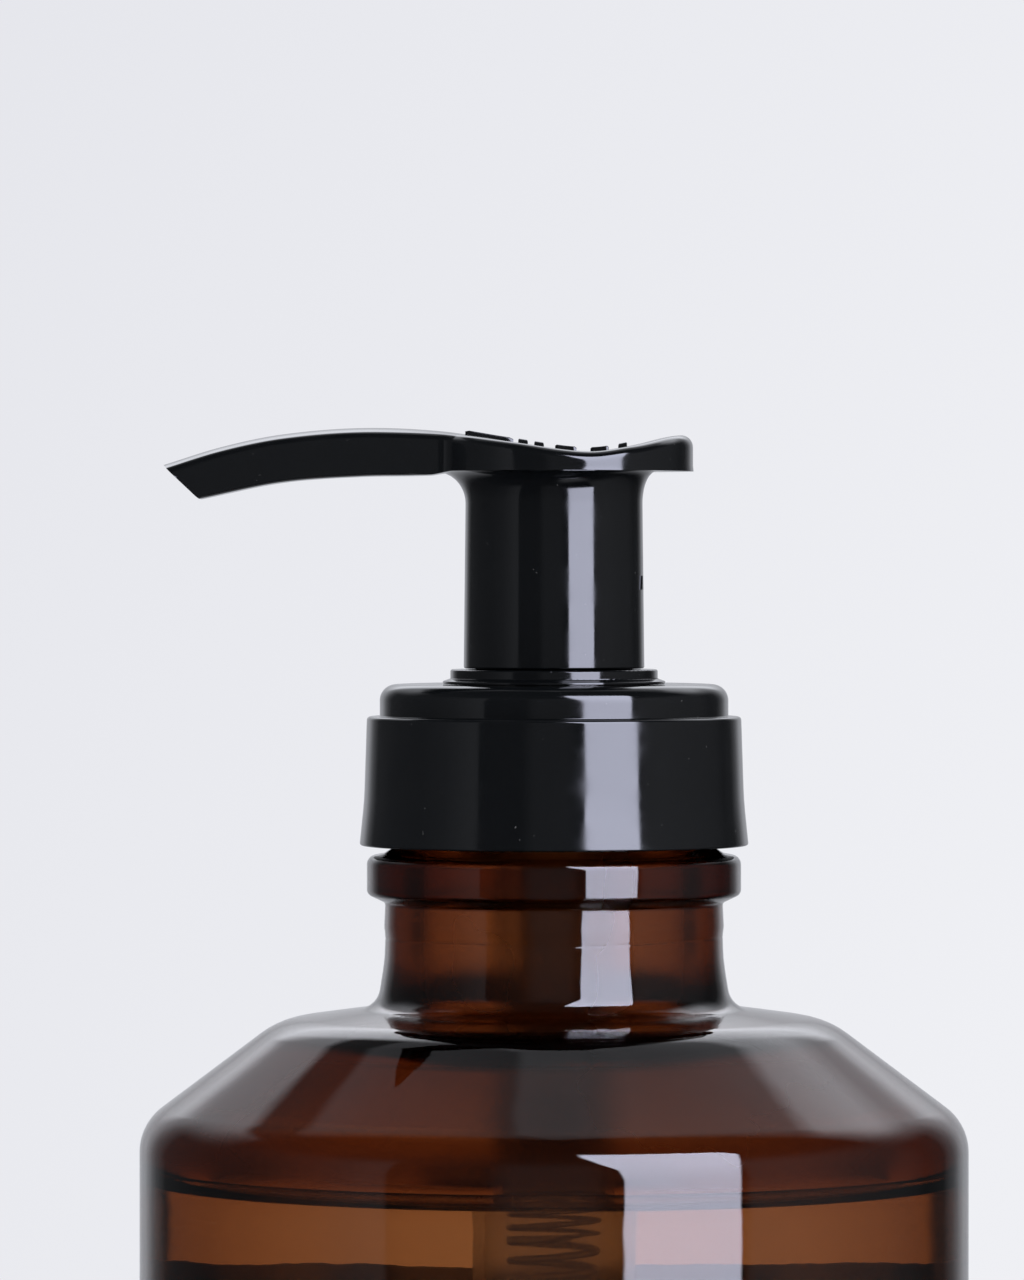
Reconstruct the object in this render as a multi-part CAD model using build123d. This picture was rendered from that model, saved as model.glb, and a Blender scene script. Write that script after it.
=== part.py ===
"""Soap pump dispenser: a round glass bottle with a lock-down lotion pump.

The axis of the bottle and of the pump is Z, the bottle stands on Z = 0 and the spout points along -X.
The head is at the bottom of its stroke, locked down. All sizes are in millimetres.
"""
import os

from build123d import *

# ---- driving dimensions -------------------------------------------------------------------------
# bottle
BODY_RADIUS = 38.75
SHOULDER_CORNER_Z = 137.95
SHOULDER_TOP_RADIUS = 25.8
SHOULDER_TOP_Z = 147.66
NECK_RADIUS = 15.8
NECK_FLARE_Z = 153.6
NECK_BASE_RADIUS = 16.55
NECK_BASE_Z = 148.93
BEAD_RADIUS = 17.5
BEAD_LOW_Z = 159.5
BEAD_HIGH_Z = 163.0
FINISH_RADIUS = 14.72
FINISH_LOW_Z = 164.05
RIM_Z = 175.1
WALL = 2.9
SHOULDER_WALL = 4.1
BASE_THICKNESS = 5.0
PUNT_HEIGHT = 2.4
PUNT_RADIUS = 29.0
NECK_BORE = 12.2

# screw thread of the neck and the closure
PITCH = 25.4 / 6
NECK_THREAD_RADIUS = 15.95
NECK_THREAD_Z = 166.7
NECK_THREAD_TURNS = 1.5
CLOSURE_THREAD_RADIUS = 15.15
CLOSURE_THREAD_TURNS = 1.0

# label
LABEL_GAP = 0.05
LABEL_THICKNESS = 0.15
LABEL_LOW_Z = 22.0
LABEL_HIGH_Z = 123.0
LABEL_ARC = 150.0

# closure
CLOSURE_LOW_Z = 164.05
CLOSURE_LOW_RADIUS = 18.2
CLOSURE_WAIST_Z = 168.3
CLOSURE_WAIST_RADIUS = 17.76
CLOSURE_EDGE_Z = 176.1
CLOSURE_EDGE_RADIUS = 17.5
STEP_RADIUS = 16.3
CLOSURE_TOP_Z = 179.1
STEP_CORNER = 1.5
CLOSURE_BORE = 16.5
CLOSURE_UPPER_BORE = 15.15
CLOSURE_HOLE = 9.3
WEB_LOW_Z = 177.3

# housing
GASKET_HIGH_Z = 176.1
FLANGE_RADIUS = 14.8
FLANGE_HIGH_Z = 177.2
CUP_BORE = 9.1
CUP_RADIUS = 10.3
CUP_FLOOR_Z = 168.2
CYLINDER_BORE = 4.9
CYLINDER_RADIUS = 5.75
SPRING_LEDGE_Z = 116.0
BALL_CHAMBER = 2.45
SEAT_HOLE = 1.2
SEAT_LOW_Z = 110.6
SOCKET_RADIUS = 4.1
SOCKET_LOW_Z = 98.0
TUBE_STOP_Z = 109.2
VENT_RADIUS = 0.5
VENT_Z = 159.7

# locking collar
RING_RADIUS = 9.7
RING_HIGH_Z = 180.5
RING_LOW_Z = 179.65
LIP_RADIUS = 10.4
LIP_THICKNESS = 0.25
SLEEVE_RADIUS = 9.05
WELL_BORE = 8.1
WELL_FLOOR_Z = 170.4
SHELF_RADIUS = 7.45
SHELF_LOW_Z = 175.2
SHELF_ARC = 70
STOP_ANGLE = -42
STOP_ARC = 36
LUG_HEIGHT = 1.1
LUG_ARC = 40
LUG_PLAY = 0.15

# head
SKIRT_RADIUS = 8.28
SKIRT_LOW_RADIUS = 8.45
SKIRT_LOW_Z = 180.6
SKIRT_BORE = 6.9
SPIGOT_RADIUS = 7.3
SPIGOT_LOW_Z = 172.6
HEAD_LOW_Z = 199.0
HEAD_REAR = 13.0
REST_RADIUS = 12.0
SPOUT_TIP_X = -36.5
SPOUT_ROOT_HALF_WIDTH = 5.5
SPOUT_TIP_HALF_WIDTH = 3.9
CROWN_RADIUS = 1.1
CHANNEL_RADIUS = 1.3
BOSS_RADIUS = 4.6
BOSS_LOW_Z = 185.0
MARK_HEIGHT = 0.3

# stem, piston, rod, spring, ball and tube
STEM_RADIUS = 3.1
STEM_BORE = 2.0
STEM_LOW_Z = 142.1
STEM_HIGH_Z = 198.0
PISTON_LOW_Z = 139.6
PISTON_HIGH_Z = 147.0
PISTON_RADIUS = 4.85
PISTON_WAIST = 4.3
VALVE_HOLE = 2.4
POPPET_RADIUS = 3.55
POPPET_LOW_Z = 139.15
SPRING_HIGH_Z = 138.0
SPRING_RADIUS = 3.0
WIRE_RADIUS = 0.35
SPRING_TURNS = 12
BALL_RADIUS = 2.0
TUBE_RADIUS = 3.0
TUBE_BORE = 2.1
TUBE_LOW_Z = 8.0
TUBE_SLANT = 40

RUNNING_GAP = 0.05
FIT_GAP = 0.01


# ---- helpers ------------------------------------------------------------------------------------
def turned(*outline):
    """A solid of revolution about Z. Each outline entry is (radius, z) or (radius, z, corner rounding)."""
    points = [(entry[0], entry[1]) for entry in outline]
    rounding = [entry[2] if len(entry) > 2 else 0 for entry in outline]
    wire = FilletPolyline(*points, radius=rounding, close=True)
    return revolve(Plane.XZ * make_face(wire), Axis.Z)


def ring(outer, inner, low, high):
    """A plain tube between two heights."""
    return turned((inner, low), (outer, low), (outer, high), (inner, high))


def rod(radius, low, high):
    """A plain round bar on the axis."""
    return Pos(0, 0, low) * Cylinder(radius, high - low, align=(Align.CENTER, Align.CENTER, Align.MIN))


def sector(outer, inner, low, high, middle_angle, width):
    """A piece of a tube that covers `width` degrees about `middle_angle`."""
    outline = Polyline((inner, low), (outer, low), (outer, high), (inner, high), close=True)
    return Rot(0, 0, middle_angle - width / 2) * revolve(Plane.XZ * make_face(outline), Axis.Z, width)


def thread(root, crest, root_width, crest_width, low, turns):
    """A helical ridge from the root radius to the crest radius, whose middle starts at height `low`."""
    section = make_face(
        Polyline(
            (root, -root_width / 2),
            (crest, -crest_width / 2),
            (crest, crest_width / 2),
            (root, root_width / 2),
            close=True,
        )
    )
    path = Helix(pitch=PITCH, height=PITCH * turns, radius=root)
    return Pos(0, 0, low) * sweep(Plane.XZ * section, path=path, is_frenet=True)


# ---- bottle and label ---------------------------------------------------------------------------
def bottle():
    """Round glass bottle with a punt, a conical shoulder, a transfer bead and a threaded neck."""
    outside = turned(
        (0, 0),
        (BODY_RADIUS, 0, 3.5),
        (BODY_RADIUS, SHOULDER_CORNER_Z, 5.0),
        (SHOULDER_TOP_RADIUS, SHOULDER_TOP_Z, 8.0),
        (NECK_BASE_RADIUS, NECK_BASE_Z, 2.2),
        (NECK_RADIUS, NECK_FLARE_Z, 16.0),
        (NECK_RADIUS, BEAD_LOW_Z - 0.8, 0.4),
        (BEAD_RADIUS, BEAD_LOW_Z, 0.7),
        (BEAD_RADIUS, BEAD_HIGH_Z, 0.9),
        (FINISH_RADIUS + 1.2, BEAD_HIGH_Z + 0.3, 0.3),
        (FINISH_RADIUS, FINISH_LOW_Z, 0.8),
        (FINISH_RADIUS, RIM_Z, 0.7),
        (0, RIM_Z),
    )
    inside = turned(
        (0, BASE_THICKNESS),
        (BODY_RADIUS - WALL, BASE_THICKNESS, 5.0),
        (BODY_RADIUS - WALL, SHOULDER_CORNER_Z - 2.6, 9.0),
        (SHOULDER_TOP_RADIUS - 1.6, SHOULDER_TOP_Z - SHOULDER_WALL - 0.2, 6.0),
        (NECK_BORE, NECK_BASE_Z - SHOULDER_WALL + 0.3, 4.0),
        (NECK_BORE, RIM_Z + 1),
        (0, RIM_Z + 1),
    )
    punt_sphere = (PUNT_RADIUS**2 + PUNT_HEIGHT**2) / (2 * PUNT_HEIGHT)
    punt = Pos(0, 0, PUNT_HEIGHT - punt_sphere) * Sphere(punt_sphere)
    ridge = thread(FINISH_RADIUS - 0.3, NECK_THREAD_RADIUS, 2.3, 1.2, NECK_THREAD_Z, NECK_THREAD_TURNS)
    return outside + ridge - inside - punt


def rear_label():
    """Blank wrap of label stock on the back of the bottle."""
    inner = BODY_RADIUS + LABEL_GAP
    return sector(inner + LABEL_THICKNESS, inner, LABEL_LOW_Z, LABEL_HIGH_Z, 90, LABEL_ARC)


# ---- closure ------------------------------------------------------------------------------------
def closure():
    """Smooth screw cap with a stepped top and an inner thread."""
    shell = turned(
        (CLOSURE_BORE, CLOSURE_LOW_Z, 0.2),
        (CLOSURE_LOW_RADIUS, CLOSURE_LOW_Z, 0.25),
        (CLOSURE_WAIST_RADIUS, CLOSURE_WAIST_Z, 30.0),
        (CLOSURE_EDGE_RADIUS, CLOSURE_EDGE_Z, 0.35),
        (STEP_RADIUS, CLOSURE_EDGE_Z, 0.15),
        (STEP_RADIUS, CLOSURE_TOP_Z, STEP_CORNER),
        (CLOSURE_HOLE, CLOSURE_TOP_Z),
        (CLOSURE_HOLE, WEB_LOW_Z),
        (CLOSURE_UPPER_BORE, WEB_LOW_Z, 0.2),
        (CLOSURE_UPPER_BORE, RIM_Z - 0.1),
        (CLOSURE_BORE, RIM_Z - 0.9),
    )
    ridge = thread(CLOSURE_BORE + 0.3, CLOSURE_THREAD_RADIUS, 1.7, 0.8, NECK_THREAD_Z, CLOSURE_THREAD_TURNS)
    return shell + Rot(0, 0, 180) * ridge


def neck_gasket():
    """Flat foam ring between the glass rim and the housing's flange."""
    return ring(14.5, CUP_RADIUS + RUNNING_GAP, RIM_Z, GASKET_HIGH_Z)


# ---- pump body ----------------------------------------------------------------------------------
def housing():
    """Pump cylinder: flange and cup at the top, bore, spring ledge, ball chamber and tube socket."""
    outside = turned(
        (0, SOCKET_LOW_Z),
        (SOCKET_RADIUS, SOCKET_LOW_Z, 0.3),
        (SOCKET_RADIUS, TUBE_STOP_Z, 0.6),
        (CYLINDER_RADIUS, TUBE_STOP_Z + 3.0, 0.6),
        (CYLINDER_RADIUS, CUP_FLOOR_Z - 6.0, 1.0),
        (CUP_RADIUS, CUP_FLOOR_Z - 2.0, 1.0),
        (CUP_RADIUS, GASKET_HIGH_Z),
        (FLANGE_RADIUS, GASKET_HIGH_Z, 0.2),
        (FLANGE_RADIUS, FLANGE_HIGH_Z, 0.2),
        (0, FLANGE_HIGH_Z),
    )
    seat_high = SEAT_LOW_Z + BALL_CHAMBER - SEAT_HOLE
    inside = turned(
        (0, SOCKET_LOW_Z - 1),
        (TUBE_RADIUS + FIT_GAP, SOCKET_LOW_Z - 1),
        (TUBE_RADIUS + FIT_GAP, TUBE_STOP_Z),
        (SEAT_HOLE, TUBE_STOP_Z),
        (SEAT_HOLE, SEAT_LOW_Z),
        (BALL_CHAMBER, seat_high),
        (BALL_CHAMBER, SPRING_LEDGE_Z),
        (CYLINDER_BORE, SPRING_LEDGE_Z, 0.2),
        (CYLINDER_BORE, CUP_FLOOR_Z, 0.3),
        (CUP_BORE, CUP_FLOOR_Z, 0.3),
        (CUP_BORE, FLANGE_HIGH_Z + 1),
        (0, FLANGE_HIGH_Z + 1),
    )
    body = outside - inside
    for angle in range(0, 360, 90):
        body += sector(BALL_CHAMBER + 0.3, 1.5, SPRING_LEDGE_Z - 0.8, SPRING_LEDGE_Z, angle, 24)
    vent = Pos(CYLINDER_RADIUS, 0, VENT_Z) * Rot(0, 90, 0) * Cylinder(VENT_RADIUS, 3)
    for angle in (0, 180):
        body -= Rot(0, 0, angle) * vent
    return body


def locking_collar():
    """Ring that snaps into the housing's cup: traps the closure, guides the stem and locks the head."""
    body = turned(
        (STEM_RADIUS + RUNNING_GAP, CUP_FLOOR_Z, 0.15),
        (SLEEVE_RADIUS, CUP_FLOOR_Z, 0.3),
        (SLEEVE_RADIUS, CLOSURE_TOP_Z + RUNNING_GAP),
        (LIP_RADIUS, CLOSURE_TOP_Z + RUNNING_GAP, 0.08),
        (LIP_RADIUS, CLOSURE_TOP_Z + RUNNING_GAP + LIP_THICKNESS, 0.08),
        (RING_RADIUS, RING_LOW_Z, 0.1),
        (RING_RADIUS, RING_HIGH_Z, 0.2),
        (WELL_BORE, RING_HIGH_Z, 0.15),
        (WELL_BORE, WELL_FLOOR_Z, 0.3),
        (STEM_RADIUS + RUNNING_GAP, WELL_FLOOR_Z, 0.15),
    )
    shelf = (WELL_BORE + 0.2, SHELF_RADIUS, SHELF_LOW_Z, SHELF_LOW_Z + LUG_HEIGHT)
    stop = (WELL_BORE + 0.2, SHELF_RADIUS, WELL_FLOOR_Z - 0.2, SHELF_LOW_Z + 0.1)
    for angle in (0, 180):
        body += sector(*shelf, angle, SHELF_ARC)
        body += sector(*stop, angle + STOP_ANGLE, STOP_ARC)
    return body


def dip_tube():
    """Straight suction tube, cut at a slant at its foot."""
    tube = ring(TUBE_RADIUS, TUBE_BORE, TUBE_LOW_Z, TUBE_STOP_Z - 0.1)
    knife = Box(30, 20, 8, align=(Align.MIN, Align.CENTER, Align.MAX))
    return tube - Pos(-TUBE_RADIUS, 0, TUBE_LOW_Z) * Rot(0, TUBE_SLANT, 0) * knife


# ---- moving pieces ------------------------------------------------------------------------------
def check_ball():
    """Inlet ball on its conical seat."""
    seat_contact = SEAT_LOW_Z - SEAT_HOLE + BALL_RADIUS * 2**0.5
    return Pos(0, 0, seat_contact + 0.03) * Sphere(BALL_RADIUS)


def return_spring():
    """Compression spring with its ends ground flat."""
    low = SPRING_LEDGE_Z + WIRE_RADIUS
    high = SPRING_HIGH_Z - WIRE_RADIUS
    path = Helix(pitch=(high - low) / SPRING_TURNS, height=high - low, radius=SPRING_RADIUS)
    section = Plane(origin=path @ 0, z_dir=path % 0) * Circle(WIRE_RADIUS)
    return Pos(0, 0, low) * sweep(section, path=path)


def piston():
    """Sliding seal: two outer lips, a sleeve round the stem's foot and a valve hole in its floor."""
    seat_radius = POPPET_RADIUS + POPPET_LOW_Z - PISTON_LOW_Z + RUNNING_GAP
    return turned(
        (VALVE_HOLE, PISTON_LOW_Z + seat_radius - VALVE_HOLE),
        (seat_radius, PISTON_LOW_Z),
        (3.9, PISTON_LOW_Z),
        (PISTON_RADIUS, PISTON_LOW_Z + 0.2, 0.15),
        (PISTON_RADIUS, PISTON_LOW_Z + 1.2, 0.3),
        (PISTON_WAIST, PISTON_LOW_Z + 2.4, 0.3),
        (PISTON_WAIST, PISTON_HIGH_Z - 2.2, 0.3),
        (PISTON_RADIUS, PISTON_HIGH_Z - 1.0, 0.3),
        (PISTON_RADIUS, PISTON_HIGH_Z, 0.15),
        (PISTON_WAIST, PISTON_HIGH_Z, 0.1),
        (4.0, PISTON_HIGH_Z - 0.9, 0.2),
        (STEM_RADIUS + RUNNING_GAP, PISTON_HIGH_Z - 0.9, 0.1),
        (STEM_RADIUS + RUNNING_GAP, STEM_LOW_Z - 1.1),
        (VALVE_HOLE, STEM_LOW_Z - 1.1),
    )


def stem():
    """Hollow rod between the head and the piston."""
    return turned(
        (STEM_BORE, STEM_LOW_Z, 0.2),
        (STEM_RADIUS, STEM_LOW_Z, 0.2),
        (STEM_RADIUS, STEM_HIGH_Z, 0.3),
        (STEM_BORE, STEM_HIGH_Z, 0.2),
    )


def piston_rod():
    """Valve rod: spring seat, poppet under the piston's hole, and ribs that grip the stem's bore."""
    body = turned(
        (0, SPRING_HIGH_Z - 5.0),
        (2.1, SPRING_HIGH_Z - 5.0, 0.5),
        (2.3, SPRING_HIGH_Z),
        (3.7, SPRING_HIGH_Z, 0.1),
        (3.7, SPRING_HIGH_Z + 1.1),
        (POPPET_RADIUS, POPPET_LOW_Z),
        (1.8, POPPET_LOW_Z + POPPET_RADIUS - 1.8, 0.2),
        (1.1, STEM_LOW_Z, 0.4),
        (1.1, STEM_LOW_Z + 16.0, 0.4),
        (0, STEM_LOW_Z + 16.0),
    )
    for angle in range(0, 360, 120):
        body += sector(STEM_BORE - FIT_GAP, 0.5, STEM_LOW_Z + 1.5, STEM_LOW_Z + 14.0, angle, 26)
    return body


# ---- head ---------------------------------------------------------------------------------------
def head_side():
    """Side outline of the head and spout: saddle top, drooping spout with a slanted end."""
    crest = Spline(
        (SPOUT_TIP_X, 199.6),
        (-31.0, 201.3),
        (-25.4, 202.45),
        (-18.0, 203.05),
        (-10.5, 202.75),
        (-3.9, 201.75),
        (3.0, 200.87),
        (7.3, 201.45),
        (HEAD_REAR - 1.8, 202.6),
        (HEAD_REAR + 1.0, 202.9),
    )
    rear = Polyline(crest @ 1, (HEAD_REAR + 1.0, HEAD_LOW_Z), (-11.5, HEAD_LOW_Z - 0.35))
    belly = Spline(rear @ 1, (-18.0, 198.5), (-25.4, 197.95), (-33.1, 196.4))
    tip = Line(belly @ 1, crest @ 0)
    return make_face(Wire([crest, *rear.edges(), belly, tip]))


def head_plan():
    """Plan of the head: a rounded thumb rest that runs into a tapering spout."""
    rest = Pos(HEAD_REAR - REST_RADIUS, 0) * Circle(REST_RADIUS)
    root = Vector(-3.0, SPOUT_ROOT_HALF_WIDTH)
    end = Vector(SPOUT_TIP_X - 1, SPOUT_TIP_HALF_WIDTH)
    spout = make_face(Polyline(root, end, (end.X, -end.Y), (root.X, -root.Y), close=True))
    outline = rest + spout
    inner_corners = [v for v in outline.vertices() if -14 < v.X < -9]
    return fillet(inner_corners, 2.0)


def head_marks():
    """Raised plain bars along the middle of the thumb rest, as tall as MARK_HEIGHT above its top."""
    bars = Part()
    for middle, length, width in (
        (-6.05, 4.5, 1.1),
        (-2.9, 0.9, 3.2),
        (-1.4, 0.9, 3.2),
        (1.1, 2.0, 1.1),
        (4.25, 1.7, 1.1),
        (6.4, 0.8, 3.2),
    ):
        bars += Pos(middle, 0, HEAD_LOW_Z + 2.5) * Box(length, width, 5.0)
    raised = extrude(Plane.XZ.offset(-20) * head_side(), 40)
    return bars & Pos(0, 0, MARK_HEIGHT) * raised


def crown_edges(plate):
    """The edges round the top of the head, without its sharp tip and the upright corners."""
    high = [edge for edge in plate.edges() if edge.center().Z > HEAD_LOW_Z + 0.5]
    flat = [edge for edge in high if abs((edge % 0.5).Z) < 0.9]
    return [edge for edge in flat if edge.center().X > SPOUT_TIP_X + 0.5]


def pump_head():
    """Push-down head: thumb rest and spout, skirt with its lock spigot and lugs, stem socket, passage."""
    side = extrude(Plane.XZ.offset(-20) * head_side(), 40)
    plan = Pos(0, 0, 190) * extrude(head_plan(), 20)
    plate = side & plan
    plate = fillet(crown_edges(plate), CROWN_RADIUS) + head_marks()
    skirt = turned(
        (0, SPIGOT_LOW_Z),
        (SPIGOT_RADIUS, SPIGOT_LOW_Z, 0.4),
        (SPIGOT_RADIUS, SKIRT_LOW_Z),
        (SKIRT_LOW_RADIUS, SKIRT_LOW_Z, 0.15),
        (SKIRT_RADIUS, HEAD_LOW_Z - 1.5, 3.0),
        (SKIRT_RADIUS + 1.6, HEAD_LOW_Z + 0.4),
        (0, HEAD_LOW_Z + 0.4),
    )
    hollow = turned(
        (0, SPIGOT_LOW_Z - 1),
        (SPIGOT_RADIUS - 1.0, SPIGOT_LOW_Z - 1),
        (SKIRT_BORE, SKIRT_LOW_Z + 3.0),
        (SKIRT_BORE, HEAD_LOW_Z - 1.0, 0.8),
        (0, HEAD_LOW_Z - 1.0),
    )
    boss = turned(
        (0, BOSS_LOW_Z),
        (BOSS_RADIUS, BOSS_LOW_Z, 0.4),
        (BOSS_RADIUS + 0.2, HEAD_LOW_Z - 0.5),
        (0, HEAD_LOW_Z - 0.5),
    )
    body = plate + (skirt - hollow) + boss
    body -= rod(STEM_RADIUS + FIT_GAP, BOSS_LOW_Z - 1, STEM_HIGH_Z)
    body -= flow_passage()
    lug_high = SHELF_LOW_Z - LUG_PLAY
    for angle in (0, 180):
        lug = (WELL_BORE - LUG_PLAY, SPIGOT_RADIUS - 0.3, lug_high - LUG_HEIGHT, lug_high)
        body += sector(*lug, angle, LUG_ARC)
    return body


def flow_passage():
    """Passage from the stem's bore to the slanted end of the spout."""
    start = Vector(0, 0, 199.3)
    knee = Vector(-20.0, 0, 200.8)
    outlet = Vector(-36.5, 0, 197.7)
    passage = rod(CHANNEL_RADIUS, STEM_HIGH_Z - 1, 199.3) + Pos(*start) * Sphere(CHANNEL_RADIUS)
    for low, high in ((start, knee), (knee, outlet)):
        run = Line(low, high)
        passage += sweep(Plane(origin=low, z_dir=high - low) * Circle(CHANNEL_RADIUS), path=run)
        passage += Pos(*high) * Sphere(CHANNEL_RADIUS)
    return passage


PIECES = {
    "bottle": bottle,
    "rear_label": rear_label,
    "closure": closure,
    "neck_gasket": neck_gasket,
    "housing": housing,
    "locking_collar": locking_collar,
    "dip_tube": dip_tube,
    "check_ball": check_ball,
    "return_spring": return_spring,
    "piston": piston,
    "stem": stem,
    "piston_rod": piston_rod,
    "pump_head": pump_head,
}

os.makedirs("parts", exist_ok=True)
for name, make in PIECES.items():
    export_step(make(), f"parts/{name}.step")
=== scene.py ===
"""Soap pump dispenser: amber glass bottle, black lock-down pump, soap, label, and a plain pale studio."""
from math import atan2, ceil, cos, degrees, pi, radians, sin, sqrt, tan

import bmesh
import bpy
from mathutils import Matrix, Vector, noise


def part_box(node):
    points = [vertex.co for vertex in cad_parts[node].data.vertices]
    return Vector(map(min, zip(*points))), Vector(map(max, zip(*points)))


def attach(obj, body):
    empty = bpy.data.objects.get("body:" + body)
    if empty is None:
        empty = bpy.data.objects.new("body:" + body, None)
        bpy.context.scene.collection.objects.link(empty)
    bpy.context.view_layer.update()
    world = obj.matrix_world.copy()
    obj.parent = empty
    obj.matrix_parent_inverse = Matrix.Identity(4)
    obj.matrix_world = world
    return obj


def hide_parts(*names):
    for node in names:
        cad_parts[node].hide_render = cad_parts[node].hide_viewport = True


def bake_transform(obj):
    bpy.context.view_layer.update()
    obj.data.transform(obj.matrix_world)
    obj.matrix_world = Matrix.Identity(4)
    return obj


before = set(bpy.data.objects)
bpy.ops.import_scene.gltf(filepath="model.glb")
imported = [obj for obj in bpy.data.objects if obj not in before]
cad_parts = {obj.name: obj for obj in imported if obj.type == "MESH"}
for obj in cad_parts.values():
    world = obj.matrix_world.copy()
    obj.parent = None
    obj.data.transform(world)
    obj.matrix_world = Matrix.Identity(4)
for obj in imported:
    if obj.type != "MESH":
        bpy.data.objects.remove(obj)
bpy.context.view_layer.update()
MM = 0.001
TURN = 2 * pi


# ---- sizes, in millimetres, read from the frame where it holds them ----
def node_box(node):
    """Lowest and highest corner of a CAD node, in millimetres."""
    low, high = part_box(node)
    return low / MM, high / MM


BODY_RADIUS = node_box("bottle")[1].x
RIM_Z = node_box("bottle")[1].z
CLOSURE_LOW_Z = node_box("closure")[0].z
CLOSURE_TOP_Z = node_box("closure")[1].z
CLOSURE_RADIUS = node_box("closure")[1].x
LABEL_LOW_Z = node_box("rear_label")[0].z
LABEL_HIGH_Z = node_box("rear_label")[1].z
LABEL_OUTER = node_box("rear_label")[1].y
SPRING_LOW_Z = node_box("return_spring")[0].z
SPRING_HIGH_Z = node_box("return_spring")[1].z
SPRING_OUTER = node_box("return_spring")[1].x
RING_HIGH_Z = node_box("locking_collar")[1].z
FLANGE_HIGH_Z = node_box("housing")[1].z
FLANGE_RADIUS = node_box("housing")[1].x
TUBE_LOW_Z = node_box("dip_tube")[0].z
TUBE_RADIUS = node_box("dip_tube")[1].x
STEM_RADIUS = node_box("stem")[1].x
PISTON_LOW_Z = node_box("piston")[0].z
SPIGOT_LOW_Z = node_box("pump_head")[0].z
HEAD_REAR = node_box("pump_head")[1].x
HEAD_HALF_WIDTH = node_box("pump_head")[1].y

# bottle and soap
SHOULDER_CORNER_Z = 137.95
SHOULDER_TOP_RADIUS = 25.8
SHOULDER_TOP_Z = 147.66
NECK_RADIUS = 15.8
NECK_FLARE_Z = 153.6
NECK_BASE_RADIUS = 16.55
NECK_BASE_Z = 148.93
SEAM_Z = 156.6
BEAD_RADIUS = 17.5
BEAD_LOW_Z = 159.5
BEAD_HIGH_Z = 163.0
FINISH_RADIUS = 14.72
NECK_BORE = 12.2
WALL = 2.9
SHOULDER_WALL = 4.1
BASE_THICKNESS = 5.0
PUNT_HEIGHT = 2.4
PUNT_RADIUS = 29.0
SOAP_LEVEL = 132.6
MENISCUS = 1.5
LABEL_GAP = 0.05

# screw thread
PITCH = 25.4 / 6
THREAD_Z = 166.7
NECK_THREAD_HEIGHT = 1.23
CLOSURE_THREAD_HEIGHT = 1.35

# closure
CLOSURE_WAIST_Z = 168.3
CLOSURE_WAIST_RADIUS = 17.76
CLOSURE_EDGE_Z = 176.1
CLOSURE_EDGE_RADIUS = 17.5
STEP_RADIUS = 16.3
CLOSURE_BORE = 16.5
CLOSURE_UPPER_BORE = 15.15
CLOSURE_HOLE = 9.3
WEB_LOW_Z = 177.3

# housing
GASKET_HIGH_Z = 176.1
CUP_BORE = 9.1
CUP_RADIUS = 10.3
CUP_FLOOR_Z = 168.2
CYLINDER_BORE = 4.9
CYLINDER_RADIUS = 5.75
BALL_CHAMBER = 2.45
SEAT_HOLE = 1.2
SEAT_LOW_Z = 110.6
SOCKET_RADIUS = 4.1
SOCKET_BORE = 3.01
SOCKET_LOW_Z = 98.0
TUBE_STOP_Z = 109.2
TUBE_BORE = 2.1
STEM_BORE = 2.0

# head
HEAD_LOW_Z = 199.0
SKIRT_LOW_Z = RING_HIGH_Z + 0.1
SKIRT_LOW_RADIUS = 8.45
SKIRT_RADIUS = 8.28
SKIRT_BORE = 6.9
FLARE_LOW_Z = 196.0
SPIGOT_RADIUS = 7.3
SPIGOT_BORE = 6.3
BOSS_RADIUS = 4.6
BOSS_BORE = 3.12
BOSS_LOW_Z = 185.0
LUG_LOW_Z = 173.95
LUG_HEIGHT = 1.1
LUG_ARC = 40
SPOUT_TIP = -36.5
SPOUT_TIP_Z = 199.6
SPOUT_ROOT_X = -3.0
SPOUT_ROOT_HALF_WIDTH = 5.5
SPOUT_TIP_HALF_WIDTH = 3.946
CHANNEL_RADIUS = 1.3


# ---- mesh helpers ----
SHORTEST_SPLIT = 0.3
EDGE_MARGIN = 0.12


def rounded(corners, closed=False, step=6.0, spacing=2.0):
    """Points along an outline of (r, z) or (r, z, rounding) corners, with arcs at the corners.

    The straight stretches between them get even points.
    """
    count = len(corners)
    pieces = []
    for i, corner in enumerate(corners):
        here = Vector(corner[:2])
        radius = corner[2] if len(corner) > 2 else 0
        before = Vector(corners[i - 1][:2])
        after = Vector(corners[(i + 1) % count][:2])
        if radius == 0 or (not closed and i in (0, count - 1)):
            pieces.append([here])
            continue
        back = (before - here).normalized()
        ahead = (after - here).normalized()
        half = back.angle(ahead) / 2
        reach = radius / tan(half)
        start, end = here + back * reach, here + ahead * reach
        centre = here + (back + ahead).normalized() * radius / sin(half)
        first, last = start - centre, end - centre
        sweep = first.angle(last)
        parts = max(2, ceil(degrees(sweep) / step))
        arc = []
        for k in range(parts + 1):
            t = k / parts
            arc.append(centre + (first * sin((1 - t) * sweep) + last * sin(t * sweep)) / sin(sweep))
        pieces.append(arc)
    points = []
    for i, arc in enumerate(pieces):
        points += arc
        if i == count - 1 and not closed:
            break
        gap_start, gap_end = arc[-1], pieces[(i + 1) % count][0]
        length = (gap_end - gap_start).length
        if length < SHORTEST_SPLIT:
            continue
        margin = min(EDGE_MARGIN, length / 4)
        parts = max(1, ceil((length - 2 * margin) / spacing))
        direction = (gap_end - gap_start) / length
        for k in range(parts + 1):
            points.append(gap_start + direction * (margin + (length - 2 * margin) * k / parts))
    return points


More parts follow.
